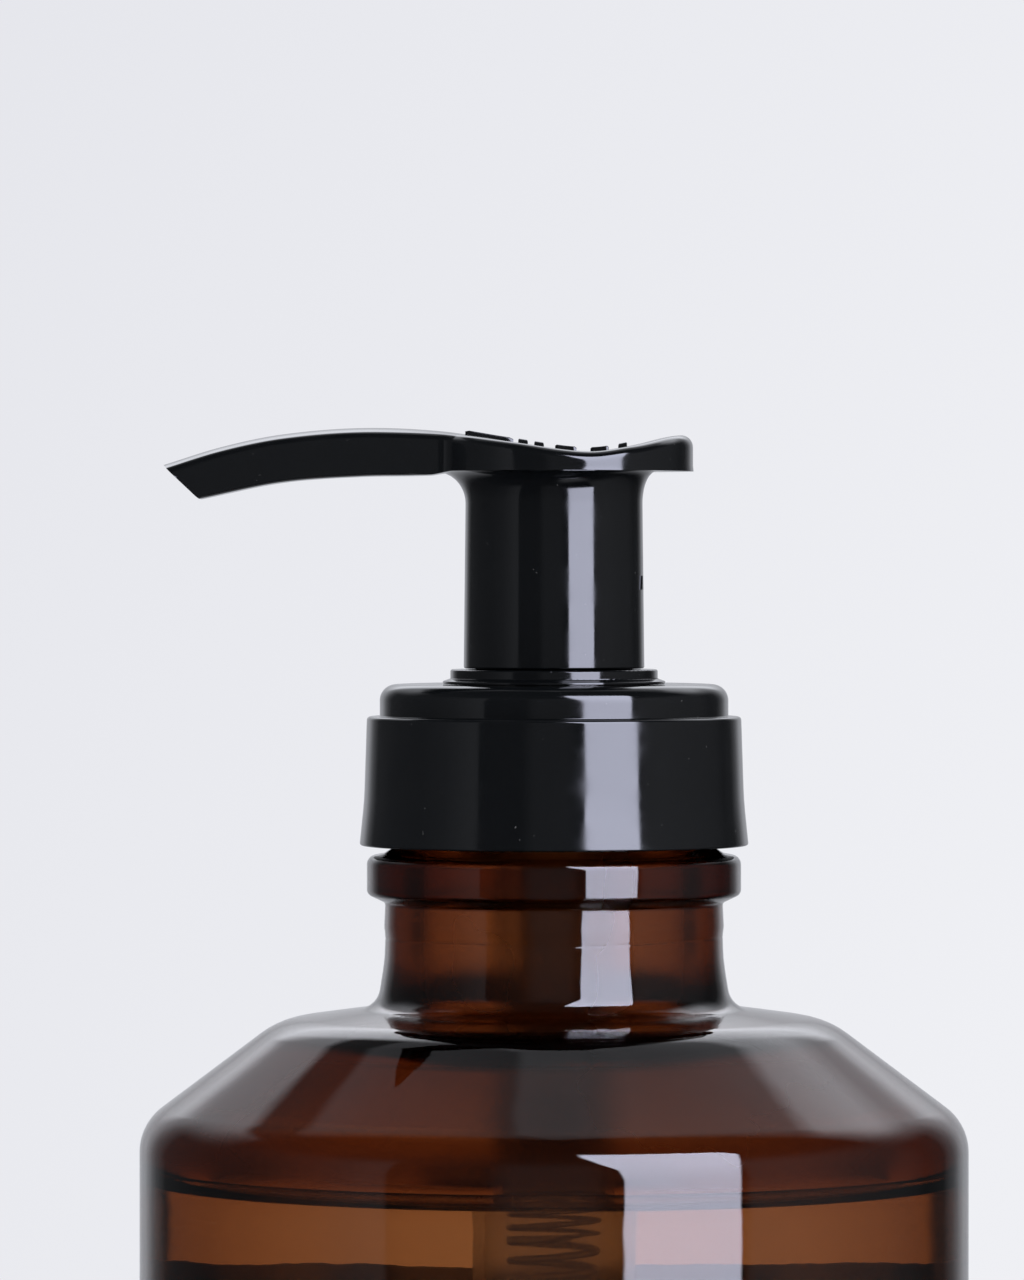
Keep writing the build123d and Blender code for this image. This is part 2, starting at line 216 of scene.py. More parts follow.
def mesh_object(name, vertices, faces):
    """A smooth-shaded object from vertices in millimetres."""
    mesh = bpy.data.meshes.new(name)
    mesh.from_pydata([Vector(v) * MM for v in vertices], [], faces)
    mesh.validate()
    mesh.shade_smooth()
    piece = bpy.data.objects.new(name, mesh)
    bpy.context.scene.collection.objects.link(piece)
    return piece


def lathe_data(points, segments=128, closed=True, change=None):
    """Vertices and faces of a turned solid. Points run up outside and down inside, or axis to axis."""
    vertices, rows = [], []
    for radius, z in points:
        if radius < 1e-6:
            rows.append([len(vertices)])
            vertices.append(Vector((0, 0, z)))
            continue
        row = []
        for k in range(segments):
            angle = TURN * k / segments
            r, height = change(radius, z, angle) if change else (radius, z)
            row.append(len(vertices))
            vertices.append(Vector((r * cos(angle), r * sin(angle), height)))
        rows.append(row)
    faces = []
    pairs = list(zip(rows, rows[1:]))
    if closed:
        pairs.append((rows[-1], rows[0]))
    for low, high in pairs:
        if len(low) == 1 and len(high) == 1:
            continue
        for k in range(segments):
            n = (k + 1) % segments
            if len(low) == 1:
                faces.append((low[0], high[n], high[k]))
            elif len(high) == 1:
                faces.append((low[k], low[n], high[0]))
            else:
                faces.append((low[k], low[n], high[n], high[k]))
    return vertices, faces


def lathe(name, points, segments=128, closed=True, change=None):
    """A turned solid as an object."""
    return mesh_object(name, *lathe_data(points, segments, closed, change))


def swept(rings):
    """Vertices and faces of a closed solid through rings of equal size, with both ends capped."""
    size = len(rings[0])
    vertices = [point for ring in rings for point in ring]
    last = len(vertices) - size
    faces = [tuple(range(size)), tuple(range(last, last + size))[::-1]]
    for a in range(0, last, size):
        for n in range(size):
            m = (n + 1) % size
            faces.append((a + n, a + size + n, a + size + m, a + m))
    return vertices, faces


def ease(low, high, value):
    """0 at low, 1 at high, flat beyond them and smooth between them."""
    t = min(max((value - low) / (high - low), 0), 1)
    return t * t * (3 - 2 * t)


def thread_height(z, angle, start_z, start_angle, turns, root_width, crest_width):
    """How far up a helical ridge of height 1 a point on the wall lies."""
    best = 0
    base = ((angle - start_angle) % TURN) / TURN
    for lap in range(ceil(turns) + 1):
        along = base + lap
        if along > turns:
            break
        away = abs(z - start_z - PITCH * along)
        flank = (root_width / 2 - away) / ((root_width - crest_width) / 2)
        ends = ease(0, 0.07, along) * ease(0, 0.07, turns - along)
        best = max(best, min(max(flank, 0), 1) * ends)
    return best


def smooth_noise(x, y, z, scale, seed):
    """Slow noise about 0, of size 1, at a wavelength of `scale` millimetres."""
    return noise.noise(Vector((x, y, z)) / scale + Vector((seed * 17.3, seed * 5.1, seed * 9.7)))


# ---- materials ----
def feed(tree, socket, value):
    """Links an output to an input, or sets the input's own value."""
    if isinstance(value, bpy.types.NodeSocket):
        tree.links.new(value, socket)
    else:
        socket.default_value = value


def node(tree, kind, **values):
    """A shader node with its properties and inputs given by name."""
    made = tree.nodes.new(kind)
    for name, value in values.items():
        if name in made.inputs:
            feed(tree, made.inputs[name], value)
        else:
            setattr(made, name, value)
    return made


def material(name, inputs):
    """A material with one Principled node, whose inputs are set by name. Returns all three levels."""
    made = bpy.data.materials.new(name)
    made.use_nodes = True
    tree = made.node_tree
    surface = tree.nodes["Principled BSDF"]
    for key, value in inputs.items():
        surface.inputs[key].default_value = value
    return made, tree, surface


def object_place(tree):
    """The place in the object's own space, in metres."""
    return node(tree, "ShaderNodeTexCoord").outputs["Object"]


def noise_texture(tree, scale, detail=2.0, stretch=(1, 1, 1)):
    """Noise in object space. Scale is in waves per metre."""
    place = node(tree, "ShaderNodeMapping", Scale=stretch, Vector=object_place(tree)).outputs["Vector"]
    return node(tree, "ShaderNodeTexNoise", Scale=scale, Detail=detail, Vector=place).outputs["Fac"]


def ranged(tree, source, low, high, to_low, to_high, smooth=False):
    """Maps a value from one range to another, and holds it at the ends."""
    ends = {"From Min": low, "From Max": high, "To Min": to_low, "To Max": to_high}
    kind = "SMOOTHSTEP" if smooth else "LINEAR"
    mapped = node(tree, "ShaderNodeMapRange", interpolation_type=kind, Value=source, **ends)
    return mapped.outputs["Result"]


def calculated(tree, operation, *values):
    """One Math node. Each value is a number or an output."""
    made = node(tree, "ShaderNodeMath", operation=operation)
    for socket, value in zip(made.inputs, values):
        feed(tree, socket, value)
    return made.outputs["Value"]


def added(tree, *values):
    """The sum of several values."""
    total = values[0]
    for value in values[1:]:
        total = calculated(tree, "ADD", total, value)
    return total


def product(tree, *values):
    """Several values multiplied."""
    total = values[0]
    for value in values[1:]:
        total = calculated(tree, "MULTIPLY", total, value)
    return total


def band(tree, value, low, high, soft):
    """1 between two values and 0 outside them, with soft edges."""
    rise = ranged(tree, value, low - soft, low + soft, 0, 1, True)
    return product(tree, rise, ranged(tree, value, high - soft, high + soft, 1, 0, True))


def pick(tree, chooser, first, second):
    """first where chooser is 0 and second where it is 1. Both are colours or outputs."""
    made = node(tree, "ShaderNodeMix", data_type="RGBA", Factor=chooser, A=first, B=second)
    return made.outputs["Result"]


def grey(tree, value, tint=(1, 1, 1)):
    """A colour from one value."""
    made = node(tree, "ShaderNodeCombineColor")
    for name, share in zip(("Red", "Green", "Blue"), tint):
        tree.links.new(product(tree, value, share), made.inputs[name])
    return made.outputs["Color"]


def curve(tree, value, *points):
    """Straight lines through (value, result) points, flat beyond the ends."""
    first, last = points[0][0], points[-1][0]
    made = node(tree, "ShaderNodeValToRGB")
    stops = made.color_ramp.elements
    while len(stops) < len(points):
        stops.new(0.5)
    for stop, (place, result) in zip(stops, points):
        stop.position = (place - first) / (last - first)
        stop.color = (result, result, result, 1)
    tree.links.new(ranged(tree, value, first, last, 0, 1), made.inputs["Fac"])
    return made.outputs["Color"]


def tinted(tree, surface, chooser, first, second):
    """Colours a surface between two colours."""
    tree.links.new(pick(tree, chooser, first, second), surface.inputs["Base Color"])


def roughened(tree, surface, source, smoothest, roughest, low=0.3, high=0.7):
    """Lets noise vary a surface's roughness."""
    tree.links.new(ranged(tree, source, low, high, smoothest, roughest), surface.inputs["Roughness"])


def bump(tree, surface, height, depth):
    """Adds a bump from a height output, with its depth in millimetres."""
    made = node(tree, "ShaderNodeBump", Strength=1.0, Distance=depth * MM, Height=height)
    tree.links.new(made.outputs["Normal"], surface.inputs["Normal"])


def absorb(made, tree, colour, density):
    """Colours what passes through a clear material by its depth."""
    depth = node(tree, "ShaderNodeVolumeAbsorption", Color=(*colour, 1), Density=density)
    tree.links.new(depth.outputs["Volume"], tree.nodes["Material Output"].inputs["Volume"])
    return made


def clear_inputs(refraction):
    """The Principled inputs of a colourless clear material."""
    return {"Base Color": (1, 1, 1, 1), "Transmission Weight": 1.0, "IOR": refraction}


def amber_glass():
    """Amber container glass: ripples from the mould, and a dried film inside, above the soap."""
    made, tree, surface = material("amber_glass", clear_inputs(1.52))
    clean = ranged(tree, noise_texture(tree, 90, 3.0), 0.35, 0.75, 0.0, 0.03)
    film = node(tree, "ShaderNodeAttribute", attribute_name="film").outputs["Fac"]
    patches = ranged(tree, noise_texture(tree, 45, 3.0, (1, 1, 0.5)), 0.3, 0.7, 0.12, 0.34)
    roughness = calculated(tree, "MAXIMUM", clean, product(tree, film, patches))
    tree.links.new(roughness, surface.inputs["Roughness"])
    split = node(tree, "ShaderNodeSeparateXYZ", Vector=object_place(tree))
    on_neck = ranged(tree, split.outputs["Z"], 146 * MM, 152 * MM, 0.25, 0.9)
    slow = noise_texture(tree, 60, 1.0, (1, 1, 0.35))
    middle = product(tree, noise_texture(tree, 190, 1.0, (1, 1, 0.8)), on_neck)
    fine = product(tree, noise_texture(tree, 420, 1.5, (1, 1, 0.6)), 0.12)
    bump(tree, surface, added(tree, slow, middle, fine), 0.06)
    return absorb(made, tree, (0.613, 0.325, 0.0), 641)


def soap_liquid():
    """Clear, slightly straw-coloured liquid soap."""
    made, tree, surface = material("soap_liquid", {**clear_inputs(1.33), "Specular IOR Level": 0.2})
    roughened(tree, surface, noise_texture(tree, 200, 2.0), 0.0, 0.015, 0.3, 0.8)
    return absorb(made, tree, (0.95, 0.85, 0.6), 3.0)


def black_plastic(name, seed):
    """Glossy moulded black polypropylene: a fine skin texture, rubbed patches and dust."""
    made, tree, surface = material(name, {"IOR": 1.53})
    roughened(tree, surface, noise_texture(tree, 350 + seed, 4.0), 0.07, 0.16, 0.4, 0.75)
    dust = ranged(tree, noise_texture(tree, 2600 + seed, 1.0), 0.79, 0.83, 0, 0.25)
    tinted(tree, surface, dust, (0.0036, 0.0043, 0.0052, 1), (0.45, 0.45, 0.45, 1))
    skin = noise_texture(tree, 130 + seed, 2.0, (1, 1, 0.3))
    bump(tree, surface, calculated(tree, "MULTIPLY_ADD", noise_texture(tree, 5200, 2.0), 0.03, skin), 0.02)
    return made


def clear_plastic(name, colour, through, roughness):
    """Natural polypropylene or polyethylene: milky, with flow marks along its length."""
    made, tree, surface = material(name, {"IOR": 1.2, "Transmission Weight": through})
    flow = noise_texture(tree, 240, 3.0, (1, 1, 0.15))
    roughened(tree, surface, flow, roughness, roughness + 0.12)
    tinted(tree, surface, flow, (*colour, 1), (*[0.92 * c for c in colour], 1))
    return made


def metal(name, colour, roughness):
    """Drawn or polished steel with fine marks."""
    made, tree, surface = material(name, {"Metallic": 1.0})
    marks = noise_texture(tree, 900, 3.0)
    roughened(tree, surface, marks, roughness, roughness + 0.15)
    tinted(tree, surface, marks, (*colour, 1), (*[0.8 * c for c in colour], 1))
    return made


def foam():
    """Foamed polyethylene with fine cells."""
    made, tree, surface = material("foam_gasket", {})
    cells = noise_texture(tree, 2500, 3.0)
    roughened(tree, surface, cells, 0.55, 0.75)
    tinted(tree, surface, cells, (0.62, 0.62, 0.6, 1), (0.8, 0.8, 0.78, 1))
    bump(tree, surface, cells, 0.08)
    return made


def label_paper():
    """Uncoated label stock with fibres and a faint mottle."""
    made, tree, surface = material("label_stock", {"IOR": 1.45})
    fibres = noise_texture(tree, 1400, 5.0, (0.5, 0.5, 1.6))
    mottle = product(tree, fibres, noise_texture(tree, 60, 2.0))
    shade = ranged(tree, mottle, 0.1, 0.4, 0, 1)
    tinted(tree, surface, shade, (0.60, 0.56, 0.49, 1), (0.76, 0.73, 0.66, 1))
    roughened(tree, surface, fibres, 0.55, 0.75)
    bump(tree, surface, fibres, 0.03)
    return made


def finish_with(piece, made):
    """Gives a piece one material."""
    piece.data.materials.clear()
    piece.data.materials.append(made)
    return piece


# ---- bottle ----
OUTER_WALL = [
    (BODY_RADIUS, SHOULDER_CORNER_Z, 5.0),
    (SHOULDER_TOP_RADIUS, SHOULDER_TOP_Z, 8.0),
    (NECK_BASE_RADIUS, NECK_BASE_Z, 2.2),
    (NECK_RADIUS, NECK_FLARE_Z, 16.0),
    (NECK_RADIUS, BEAD_LOW_Z - 0.8, 0.4),
    (BEAD_RADIUS, BEAD_LOW_Z, 0.7),
    (BEAD_RADIUS, BEAD_HIGH_Z, 0.9),
    (FINISH_RADIUS + 1.2, BEAD_HIGH_Z + 0.3, 0.3),
    (FINISH_RADIUS, CLOSURE_LOW_Z, 0.8),
]
INNER_WALL = [
    (NECK_BORE, RIM_Z, 0.6),
    (NECK_BORE, NECK_BASE_Z - SHOULDER_WALL + 0.3, 4.0),
    (SHOULDER_TOP_RADIUS - 1.6, SHOULDER_TOP_Z - SHOULDER_WALL - 0.2, 6.0),
    (BODY_RADIUS - WALL, SHOULDER_CORNER_Z - 2.6, 9.0),
    (BODY_RADIUS - WALL, BASE_THICKNESS, 5.0),
]


def inner_radius(z):
    """Radius of the inner wall near the shoulder, at a height."""
    outline = [p for p in rounded(INNER_WALL) if p.x > 20 and p.y > 100]
    for low, high in zip(outline, outline[1:]):
        if high.y <= z <= low.y:
            return high.x + (low.x - high.x) * (z - high.y) / (low.y - high.y)
    return BODY_RADIUS - WALL


def punt_outline():
    """The dome under the base, from its edge to the axis."""
    ball = (PUNT_RADIUS**2 + PUNT_HEIGHT**2) / (2 * PUNT_HEIGHT)
    points = []
    for k in range(16, -1, -1):
        radius = PUNT_RADIUS * k / 16
        points.append(Vector((radius, sqrt(ball**2 - radius**2) - (ball - PUNT_HEIGHT))))
    return points


def denser(points, low, high, spacing):
    """Adds points along an outline between two heights."""
    made = [points[0]]
    for start, end in zip(points, points[1:]):
        parts = ceil((end - start).length / spacing) if low < (start.y + end.y) / 2 < high else 1
        made += [start.lerp(end, k / parts) for k in range(1, parts + 1)]
    return made


def seam(x, y, z):
    """Height of the mould's joint round the neck: a low ridge over a thin uneven groove."""
    wander = 0.25 * smooth_noise(x, y, 0, 9, 4)
    ridge = 0.08 * ease(SEAM_Z + 0.35, SEAM_Z, z) * ease(SEAM_Z - 1.0, SEAM_Z, z)
    groove = 0.05 * max(1 - abs(z - SEAM_Z + 1.15 + wander) / 0.17, 0)
    return ridge - groove


def bottle_shape(radius, z, angle):
    """Adds the screw thread, the mould's joint on the neck and the slow waves of real glass."""
    x, y = radius * cos(angle), radius * sin(angle)
    outer_neck = z > CLOSURE_LOW_Z and radius > FINISH_RADIUS - 0.01
    if outer_neck:
        radius += NECK_THREAD_HEIGHT * thread_height(z, angle, THREAD_Z, 0, 1.5, 2.3, 1.2)
    inside = z < SHOULDER_CORNER_Z - 3 and radius < BODY_RADIUS - 1
    if radius > NECK_RADIUS - 0.5 and abs(z - SEAM_Z) < 2:
        radius += seam(x, y, z)
    if 1.0 < z < RIM_Z - 2 and not outer_neck:
        size, seed = (0.10, 1) if inside else (0.012, 2)
        radius += size * smooth_noise(x, y, z, 16, seed)
    return radius, z


def bottle_piece():
    """The glass: turned outline with thread, seam lines on the neck and an uneven inner wall.

    The vertex attribute "film" is 1 on the inner wall above the soap and 0 elsewhere.
    """
    base = [(PUNT_RADIUS + 0.5, 0), (BODY_RADIUS, 0, 3.5)]
    outside = rounded([*base, *OUTER_WALL, (FINISH_RADIUS, CLOSURE_LOW_Z + 1.2)])
    thread_zone = [Vector((FINISH_RADIUS, CLOSURE_LOW_Z + 1.3 + 0.16 * k)) for k in range(54)]
    rim = [(FINISH_RADIUS, RIM_Z - 1.1), (FINISH_RADIUS, RIM_Z, 0.7)]
    lip = rounded([*rim, INNER_WALL[0], (NECK_BORE, RIM_Z - 2)])
    inside = rounded([(NECK_BORE, RIM_Z - 2.1), *INNER_WALL[1:], (0, BASE_THICKNESS)])
    outside = denser(outside, SEAM_Z - 1.6, SEAM_Z + 0.6, 0.07)
    outer_points = [*outside, *thread_zone, *lip]
    segments = 192
    points = [*outer_points, *inside, *reversed(punt_outline())]
    piece = lathe("bottle_glass", points, segments, True, bottle_shape)
    film = piece.data.attributes.new("film", "FLOAT", "POINT")
    first = segments * len(outer_points)
    for i in range(first, first + segments * (len(inside) - 1)):
        film.data[i].value = ease(SOAP_LEVEL + 1.0, SOAP_LEVEL + 3.0, piece.data.vertices[i].co.z / MM)
    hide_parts("bottle")
    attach(piece, "bottle_body")
    return finish_with(piece, amber_glass())


def label_piece():
    """Blank label: a thin curved sheet with rounded corners on the back of the bottle."""
    low_angle, high_angle = radians(15), radians(165)
    inner, outer = BODY_RADIUS + LABEL_GAP, LABEL_OUTER
    corner = 3.0
    across = 120
    rows = 48
    arc = (high_angle - low_angle) * BODY_RADIUS
    rings = []
    for i in range(across + 1):
        along = arc * i / across
        pull = max(corner - min(along, arc - along), 0)
        drop = corner - sqrt(max(corner**2 - pull**2, 0))
        low, high = LABEL_LOW_Z + drop, LABEL_HIGH_Z - drop
        heights = [low + (high - low) * j / rows for j in range(rows + 1)]
        angle = low_angle + along / BODY_RADIUS
        ring = [(outer * cos(angle), outer * sin(angle), z) for z in heights]
        rings.append(ring + [(inner * cos(angle), inner * sin(angle), z) for z in heights[::-1]])
    piece = mesh_object("label_sheet", *swept(rings))
    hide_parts("rear_label")
    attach(piece, "bottle_body")
    return finish_with(piece, label_paper())


# ---- soap ----
def soap_piece():
    """The soap: fills the bottle to its level, climbs the wall as a meniscus and fills the pump chamber."""
    grip = 0.1
    wall = BODY_RADIUS - WALL + grip
    wall_high_z = 128.0
    chamber = 5.3
    climb = 1.2
    low = BASE_THICKNESS - grip
    points = rounded([(0, low), (wall, low, 5.0 + grip), (wall, wall_high_z)])
    contact = SOAP_LEVEL + MENISCUS
    for k in range(1, 13):
        z = wall_high_z + (contact - wall_high_z) * k / 12
        points.append(Vector((inner_radius(z) + grip, z)))
    steps = 14
    edge = inner_radius(contact) - MENISCUS
    for k in range(steps + 1):
        turn = k / steps * pi / 2
        points.append(Vector((edge + MENISCUS * cos(turn), SOAP_LEVEL + MENISCUS * (1 - sin(turn)))))
    flat = 24
    for k in range(1, flat):
        points.append(Vector((edge + (chamber + 1.5 - edge) * k / flat, SOAP_LEVEL)))
    for k in range(steps + 1):
        turn = k / steps * pi / 2
        points.append(Vector((chamber + climb * (1 - sin(turn)), SOAP_LEVEL + climb * (1 - cos(turn)))))
    high = PISTON_LOW_Z - 0.3
    points += [Vector((chamber, high)), Vector((0, high))]
    piece = lathe("soap", points, 192, False)
    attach(piece, "bottle_body")
    return finish_with(piece, soap_liquid())


# ---- closure and collar ----
def closure_shape(radius, z, angle):
    """Adds the inner thread and a trace of sink marks."""
    if radius < CLOSURE_BORE + 0.1 and CLOSURE_LOW_Z + 0.5 < z < RIM_Z - 1.0:
        radius -= CLOSURE_THREAD_HEIGHT * thread_height(z, angle, THREAD_Z, pi, 1.0, 1.7, 0.8)
    elif radius > CLOSURE_EDGE_RADIUS - 0.5:
        radius += 0.006 * smooth_noise(radius * cos(angle), radius * sin(angle), z, 9, 3)
    return radius, z


def closure_piece():
    """Screw cap: tapered wall, stepped top and threaded inside."""
    outside = rounded([
        (CLOSURE_BORE, CLOSURE_LOW_Z + 1.2),
        (CLOSURE_BORE, CLOSURE_LOW_Z, 0.2),
        (CLOSURE_RADIUS + 0.02, CLOSURE_LOW_Z, 0.22),
        (CLOSURE_WAIST_RADIUS, CLOSURE_WAIST_Z, 30.0),
        (CLOSURE_EDGE_RADIUS, CLOSURE_EDGE_Z, 0.35),
        (STEP_RADIUS, CLOSURE_EDGE_Z, 0.15),
        (STEP_RADIUS, CLOSURE_TOP_Z, 1.5),
        (CLOSURE_HOLE, CLOSURE_TOP_Z, 0.1),
        (CLOSURE_HOLE, WEB_LOW_Z, 0.1),
        (CLOSURE_UPPER_BORE, WEB_LOW_Z, 0.2),
        (CLOSURE_UPPER_BORE, RIM_Z - 0.1),
        (CLOSURE_BORE, RIM_Z - 0.9),
    ], spacing=1.2)
    thread_zone = [Vector((CLOSURE_BORE, RIM_Z - 1.0 - 0.17 * k)) for k in range(53)]
    piece = lathe("closure_cap", [*outside, *thread_zone], 160, True, closure_shape)
    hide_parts("closure")
    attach(piece, "closure_body")
    return finish_with(piece, black_plastic("black_closure", 0))


# ---- head ----
CREST = [
    (SPOUT_TIP, SPOUT_TIP_Z), (-31.0, 201.3), (-25.4, 202.45), (-18.0, 203.05), (-10.5, 202.75),
    (-3.9, 201.75), (3.0, 200.87), (7.3, 201.45), (11.2, 202.6), (14.0, 202.9),
]
BELLY = [
    (-33.1, 196.4), (-25.4, 197.95), (-18.0, 198.5), (-11.5, 198.65),
    (-9.5, HEAD_LOW_Z), (14.0, HEAD_LOW_Z),
]


def smooth_curve(points, x):
    """Height at x of a smooth curve through the points (a Hermite curve with averaged slopes)."""
    slopes = []
    for i in range(len(points)):
        before, after = points[max(i - 1, 0)], points[min(i + 1, len(points) - 1)]
        slopes.append((after[1] - before[1]) / (after[0] - before[0]))
    for i in range(len(points) - 1):
        (x0, z0), (x1, z1) = points[i], points[i + 1]
        if x <= x1 or i == len(points) - 2:
            span = x1 - x0
            t = min(max((x - x0) / span, 0), 1)
            return (
                z0 * (1 + 2 * t) * (1 - t) ** 2
                + slopes[i] * span * t * (1 - t) ** 2
                + z1 * t * t * (3 - 2 * t)
                - slopes[i + 1] * span * t * t * (1 - t)
            )


def crest(x):
    """Height of the top of the head and spout."""
    return smooth_curve(CREST, x)


def belly(x):
    """Height of the underside: the slanted end of the spout, its belly, and the flat of the rest."""
    low_x, low_z = BELLY[0]
    if x < low_x:
        return SPOUT_TIP_Z - (x - SPOUT_TIP) * (SPOUT_TIP_Z - low_z) / (low_x - SPOUT_TIP)
    return smooth_curve(BELLY, x)


def lift(x):
    """Rise of the spout's lower edges above the middle of its underside."""
    return 0.22 * (1 - ease(-14, -11.5, x)) * ease(-33.4, -32.4, x)


def plan_outline():
    """Half the plan of the head from its rear to the spout's tip, as (point, inward direction) pairs."""
    centre = Vector((HEAD_REAR - HEAD_HALF_WIDTH, 0))
    rest = HEAD_HALF_WIDTH
    root, tip = Vector((SPOUT_ROOT_X, SPOUT_ROOT_HALF_WIDTH)), Vector((SPOUT_TIP, SPOUT_TIP_HALF_WIDTH))
    along = (tip - root).normalized()
    inward = Vector((along.y, -along.x))
    inward = inward if inward.y < 0 else -inward
    corner = 2.0
    lane = root - inward * corner
    gap = (centre - lane).dot(inward)
    reach = sqrt((rest + corner) ** 2 - gap**2)
    foot = centre - inward * gap
    middle = foot + along * reach
    meet = centre + (middle - centre).normalized() * rest
    meet_angle = atan2(meet.y - centre.y, meet.x - centre.x)
    points = []
    for k in range(91):
        angle = meet_angle * k / 90
        out = Vector((cos(angle), sin(angle)))
        points.append((centre + out * rest, -out))
    start = atan2(meet.y - middle.y, meet.x - middle.x)
    end = atan2(inward.y, inward.x)
    if end > start:
        end -= TURN
    for k in range(1, 17):
        angle = start + (end - start) * k / 16
        out = Vector((cos(angle), sin(angle)))
        points.append((middle + out * corner, out))
    last = points[-1][0]
    for k in range(1, 121):
        points.append((last.lerp(tip, k / 120), inward))
    return points


# shares of the way from the edge to the middle line
TOP_PARTS = (0.96, 0.85, 0.72, 0.6, 0.48, 0.36, 0.25, 0.15, 0.07)
# (outwards, share of the lift, rise where there is no lift) round the lower edge
LOWER_EDGE = ((0.05, 1.0, 0.0), (0.05, 1.0, 0.05), (-0.15, 0.35, 0.0), (-0.5, 0.05, 0.0), (-1.2, 0.0, 0.0))


def edge_radius(x):
    """Rounding of the head's upper edge: a little larger round the rear of the rest."""
    return 0.8 + 0.1 * ease(-14, -6, x) + 0.35 * ease(5, 12, x)


def dome(x):
    """How far the upper surface falls from its middle to its edge."""
    return 0.38 - 0.24 * ease(-16, -4, x) + 0.2 * ease(6, 11, x)


def behind_tip(x, drop):
    """Moves a point near the spout's tip back, so that it stays on the body side of the slanted end."""
    tip_at_drop = SPOUT_TIP + drop / 1.27
    blend_from = -33.0
    x = max(x, SPOUT_TIP)
    if x < blend_from:
        x = tip_at_drop + (x - SPOUT_TIP) * (blend_from - tip_at_drop) / (blend_from - SPOUT_TIP)
    return x


def edge_point(point, inward, turn):
    """A point of the rounded upper edge: turn is 0 on the side and a quarter circle on the top."""
    radius = edge_radius(point.x)
    place = point + inward * radius * (1 - cos(turn))
    drop = dome(place.x) + radius * (1 - sin(turn))
    x = behind_tip(place.x, drop)
    return x, place.y, crest(x) - drop


def middle_point(point, inward, part):
    """A point of the domed top: part is 0 at the edge and 1 on the middle line."""
    centre = HEAD_REAR - HEAD_HALF_WIDTH
    squeeze = 0.35 + 0.65 * ease(1, -14, point.x) if point.x < 1 else 0.35
    target = Vector((centre + (point.x - centre) * squeeze, 0))
    place = (point + inward * edge_radius(point.x)).lerp(target, part)
    drop = dome(place.x) * (1 - part) ** 2
    x = behind_tip(place.x, drop)
    return x, place.y, crest(x) - drop


def head_rings(outline):
    """Rings from the middle line of the top over the rounded edge and down the side to the underside."""
    rings = [[middle_point(p, n, part) for p, n in outline] for part in TOP_PARTS]
    for k in range(8, -1, -1):
        rings.append([edge_point(p, n, k / 8 * pi / 2) for p, n in outline])
    outer = rings[-1]
    for part in (0.25, 0.5, 0.75):
        rings.append([(x, y, high + (belly(x) + lift(x) - high) * part) for x, y, high in outer])
    for away, share, rise in LOWER_EDGE:
        wall = []
        for (x, y, high), (_, inward) in zip(outer, outline):
            up = lift(x) * share + rise * (1 - ease(0, 0.2, lift(x)))
            z = belly(x) + min(up, max(high - belly(x), 0))
            wall.append((max(x - inward.x * away, SPOUT_TIP), y - inward.y * away, z))
        rings.append(wall)
    return rings


def without_repeats(face):
    """A face without the corners that repeat the one before."""
    return tuple(v for n, v in enumerate(face) if v != face[n - 1])


def head_plate():
    """Thumb rest and spout: saddle top with a round crown, upright sides, flash line, slanted end."""
    rings = head_rings(plan_outline())
    total, count = len(rings), len(rings[0])
    vertices, index = [], []
    for side in (1, -1):
        for ring in rings:
            row = []
            for i, (x, y, z) in enumerate(ring):
                if i == 0 and side == -1:
                    row.append(index[-total][0])
                    continue
                row.append(len(vertices))
                vertices.append((x, 0 if i == 0 else y * side, z))
            index.append(row)
    faces = []
    for j in range(total - 1):
        a, b = index[j], index[j + 1]
        c, d = index[total + j], index[total + j + 1]
        for i in range(count - 1):
            faces.append((a[i], b[i], b[i + 1], a[i + 1]))
            faces.append((c[i + 1], d[i + 1], d[i], c[i]))
        faces.append((a[-1], b[-1], d[-1], c[-1]))
    for i in range(count - 1):
        a, b = index[0], index[total]
        faces.append((a[i], a[i + 1], b[i + 1], b[i]))
        a, b = index[total - 1], index[2 * total - 1]
        faces.append((a[i + 1], a[i], b[i], b[i + 1]))
    return vertices, [face for face in map(without_repeats, faces) if len(face) > 2]


def flow_passage():
    """The passage's mouth, to cut from the slanted end of the spout."""
    start, end = Vector((-28.0, 0, 199.3)), Vector((-39.0, 0, 197.24))
    along = (end - start).normalized()
    side = Vector((0, 1, 0)) * CHANNEL_RADIUS
    up = along.cross(side)
    angles = [TURN * k / 40 for k in range(40)]
    spokes = [side * cos(angle) + up * sin(angle) for angle in angles]
    return swept([[place + spoke for spoke in spokes] for place in (start, end)])


def faced_outwards(piece):
    """Merges doubled points and turns every face of a closed mesh outwards."""
    work = bmesh.new()
    work.from_mesh(piece.data)
    bmesh.ops.remove_doubles(work, verts=work.verts, dist=0.002 * MM)
    bmesh.ops.recalc_face_normals(work, faces=work.faces)
    work.to_mesh(piece.data)
    work.free()
    return piece


def cut(piece, knife):
    """Cuts one mesh out of another and deletes the knife."""
    made = piece.modifiers.new("cut", "BOOLEAN")
    made.operation = "DIFFERENCE"
    made.solver = "MANIFOLD"
    made.object = knife
    graph = bpy.context.evaluated_depsgraph_get()
    mesh = bpy.data.meshes.new_from_object(piece.evaluated_get(graph))
    piece.modifiers.clear()
    piece.data = mesh
    bpy.data.objects.remove(knife)


def joined(name, parts):
    """One object from several closed meshes, each given as (vertices, faces)."""
    vertices, faces = [], []
    for some_vertices, some_faces in parts:
        start = len(vertices)
        vertices += some_vertices
        faces += [tuple(start + v for v in face) for face in some_faces]
    return mesh_object(name, vertices, faces)


